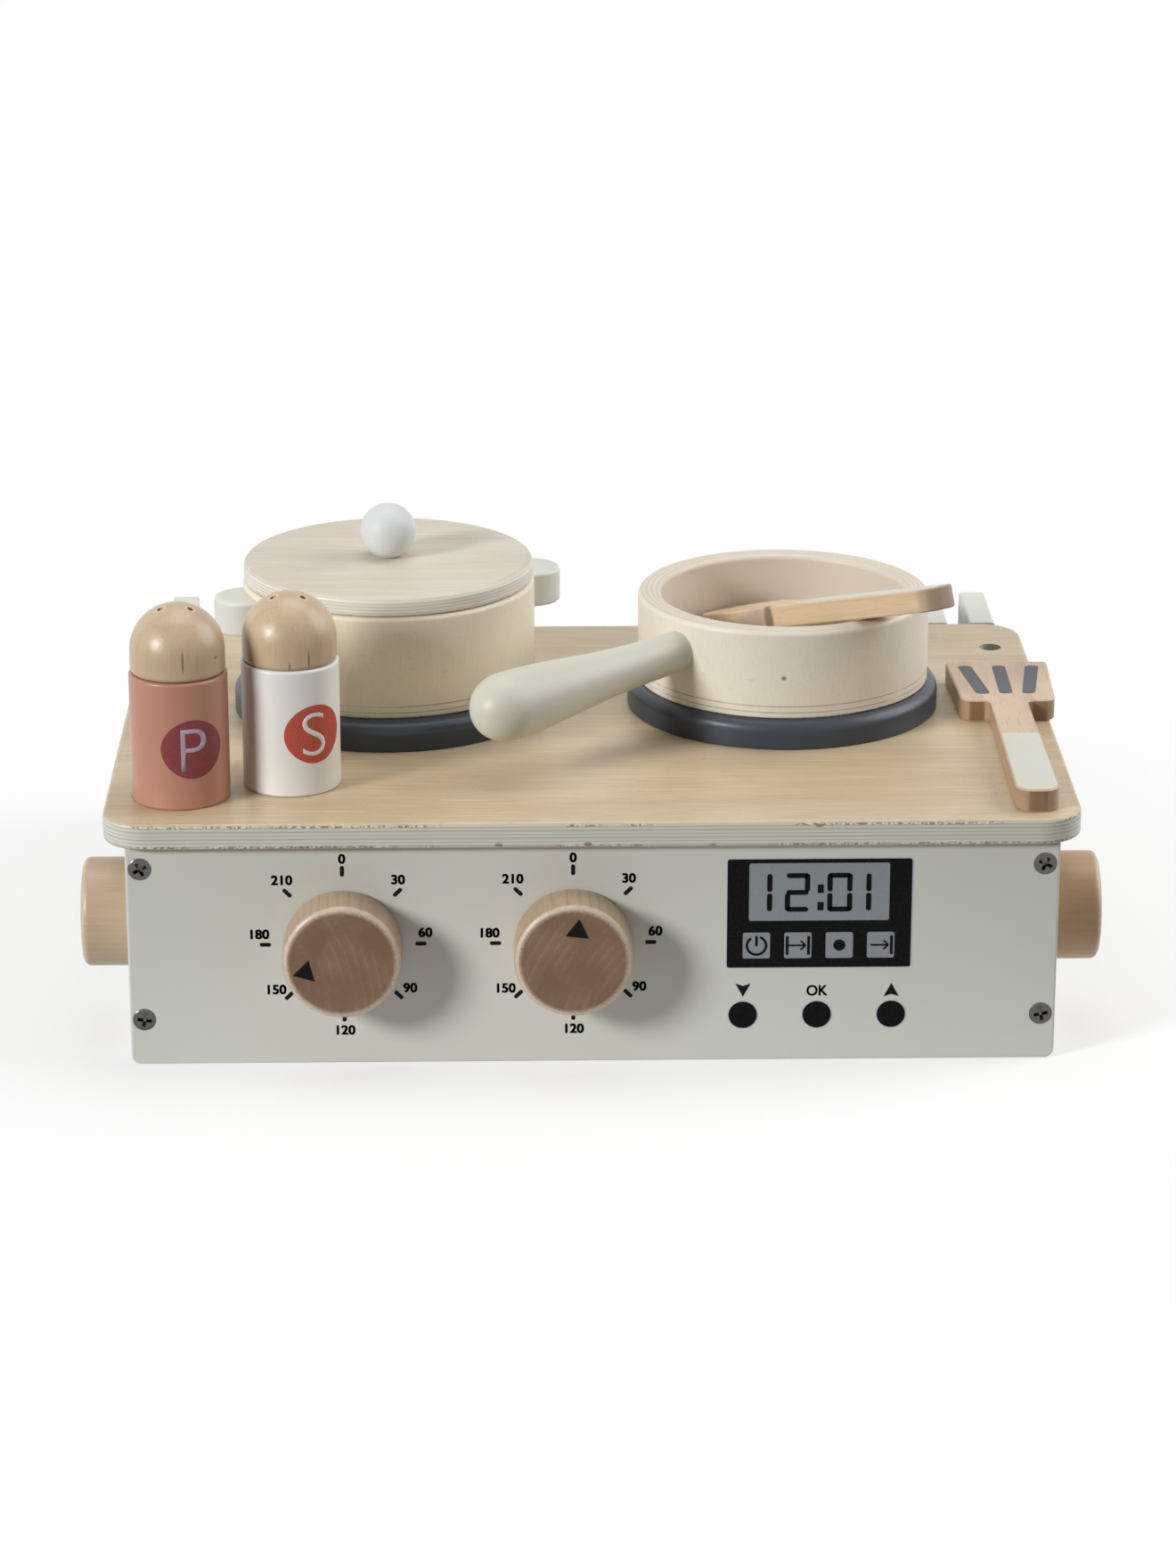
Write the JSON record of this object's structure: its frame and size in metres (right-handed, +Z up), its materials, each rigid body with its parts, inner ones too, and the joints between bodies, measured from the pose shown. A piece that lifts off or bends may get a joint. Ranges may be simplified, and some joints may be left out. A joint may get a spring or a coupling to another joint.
{
  "type": "tabletop play kitchen",
  "caption": "wooden tabletop play kitchen hob with turning knobs, lidded pot, frying pan, spoon, spatula and two shakers",
  "frame": {"origin": "on the table, under the middle of the whole object's box", "axes": "+X to the right of a user facing the front, +Y away from the user, +Z up"},
  "size_m": [0.423, 0.3364, 0.1954],
  "materials": {
    "birch_plywood": "clear-lacquered birch plywood, grain left to right, plies on the edge",
    "cream_painted_board": "satin cream paint on board",
    "charcoal_paint": "satin charcoal paint on turned board",
    "beech_knob": "clear-lacquered turned beech, growth rings on the round face",
    "beech_dowel": "plain beech",
    "beige_vessel_paint": "satin beige paint over turned plywood, ply lines showing",
    "pale_mint_paint": "satin pale mint paint",
    "beech_tool": "clear-lacquered beech",
    "beech_cap": "clear-lacquered turned beech",
    "terracotta_paint": "satin terracotta paint",
    "white_paint": "satin white paint",
    "dark_chrome": "dark bright-plated screw steel",
    "zinc_steel": "zinc-plated steel",
    "black_print": "glossy black print",
    "grey_print": "grey print",
    "charcoal_print": "charcoal print on paint",
    "red_print": "dark red print",
    "orange_print": "orange-red print",
    "pale_print": "white or pale lilac print"
  },
  "bodies": {
    "hob": {"worktop": "birch_plywood", "front_panel": "cream_painted_board", "side_panel_left": "cream_painted_board", "side_panel_right": "cream_painted_board", "rear_rail": "cream_painted_board", "inner_arm_left": "cream_painted_board", "inner_arm_right": "cream_painted_board", "rail_dowels": "beech_dowel", "arm_dowels": "beech_dowel", "front_screws": "dark_chrome", "worktop_screws": "dark_chrome", "burner_screws": "zinc_steel", "side_knob_screws": "zinc_steel", "burner_left": "charcoal_paint", "burner_right": "charcoal_paint", "side_knob_left": "beech_knob", "side_knob_right": "beech_knob"},
    "knob_left_set": {"knob_left": "beech_knob", "knob_spindle_left": "zinc_steel", "knob_washer_left": "zinc_steel", "knob_nut_left": "zinc_steel"},
    "knob_right_set": {"knob_right": "beech_knob", "knob_spindle_right": "zinc_steel", "knob_washer_right": "zinc_steel", "knob_nut_right": "zinc_steel"},
    "pot": {"pot_wall": "beige_vessel_paint", "pot_base": "beige_vessel_paint", "pot_ear_left": "pale_mint_paint", "pot_ear_right": "pale_mint_paint", "pot_ear_dowels": "beech_dowel"},
    "lid": {"lid_plate": "beige_vessel_paint", "lid_insert": "beige_vessel_paint", "lid_ball": "pale_mint_paint", "lid_screw": "zinc_steel"},
    "pan": {"pan_wall": "beige_vessel_paint", "pan_base": "beige_vessel_paint", "pan_handle": "pale_mint_paint"},
    "spoon_piece": {"spoon": "beech_tool"},
    "spatula_piece": {"spatula": "beech_tool"},
    "pepper": {"pepper_body": "terracotta_paint", "pepper_cap": "beech_cap"},
    "salt": {"salt_body": "white_paint", "salt_cap": "beech_cap"}
  },
  "joints": [
    {"name": "knob_left_turn", "type": "hinge", "parent": "hob", "child": "knob_left_set", "pos_m": [-0.1024, -0.14775, 0.052], "axis": [0, 1, 0], "continuous": true},
    {"name": "knob_right_turn", "type": "hinge", "parent": "hob", "child": "knob_right_set", "pos_m": [-0.0083, -0.14775, 0.052], "axis": [0, 1, 0], "continuous": true},
    {"name": "pot_lift", "type": "slide", "parent": "hob", "child": "pot", "axis": [0, 0, 1], "range_m": [0, 0.12]},
    {"name": "lid_lift", "type": "slide", "parent": "pot", "child": "lid", "axis": [0, 0, 1], "range_m": [0, 0.08]},
    {"name": "pan_lift", "type": "slide", "parent": "hob", "child": "pan", "axis": [0, 0, 1], "range_m": [0, 0.12]},
    {"name": "spoon_lift", "type": "slide", "parent": "pan", "child": "spoon_piece", "axis": [0, 0, 1], "range_m": [0, 0.1]},
    {"name": "spatula_lift", "type": "slide", "parent": "hob", "child": "spatula_piece", "axis": [0, 0, 1], "range_m": [0, 0.12]},
    {"name": "pepper_lift", "type": "slide", "parent": "hob", "child": "pepper", "axis": [0, 0, 1], "range_m": [0, 0.12]},
    {"name": "salt_lift", "type": "slide", "parent": "hob", "child": "salt", "axis": [0, 0, 1], "range_m": [0, 0.12]}
  ]
}
